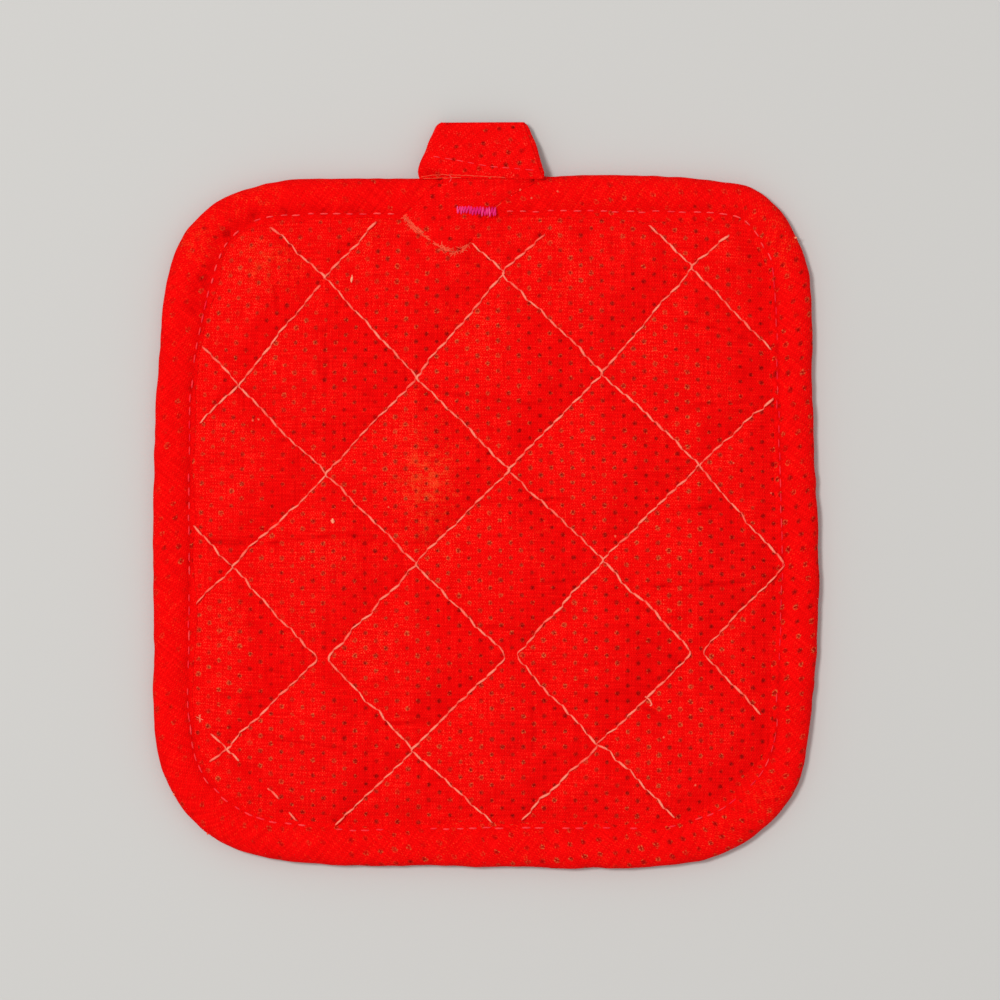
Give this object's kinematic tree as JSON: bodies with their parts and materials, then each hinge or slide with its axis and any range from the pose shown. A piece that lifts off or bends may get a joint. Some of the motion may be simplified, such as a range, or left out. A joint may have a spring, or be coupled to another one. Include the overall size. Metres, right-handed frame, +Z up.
{
  "type": "quilted pot holder",
  "caption": "Square quilted cotton pot holder with rounded corners, a bias-bound edge and a flat hanging loop folded from the same tape.",
  "frame": {"origin": "under the middle of the outline, loop included, on the surface that the pot holder lies on", "axes": "+Z up through the quilted face, +Y towards the hanging loop, +X to the right as the face is seen from above"},
  "size_m": [0.1664, 0.1867, 0.0089],
  "materials": {
    "panel_cloth": "plain-weave red cotton with a worn pin-dot print",
    "binding_cloth": "the same cotton cut on the bias",
    "loop_cloth": "the same cotton tape, folded flat",
    "quilting_thread": "pale sewing thread tinted by the red cloth",
    "binding_thread": "pink-red sewing thread",
    "tack_thread": "magenta sewing thread in a close zigzag"
  },
  "bodies": {
    "root": {"quilted_panel": "panel_cloth", "edge_binding": "binding_cloth", "hanging_loop": "loop_cloth"}
  },
  "joints": []
}
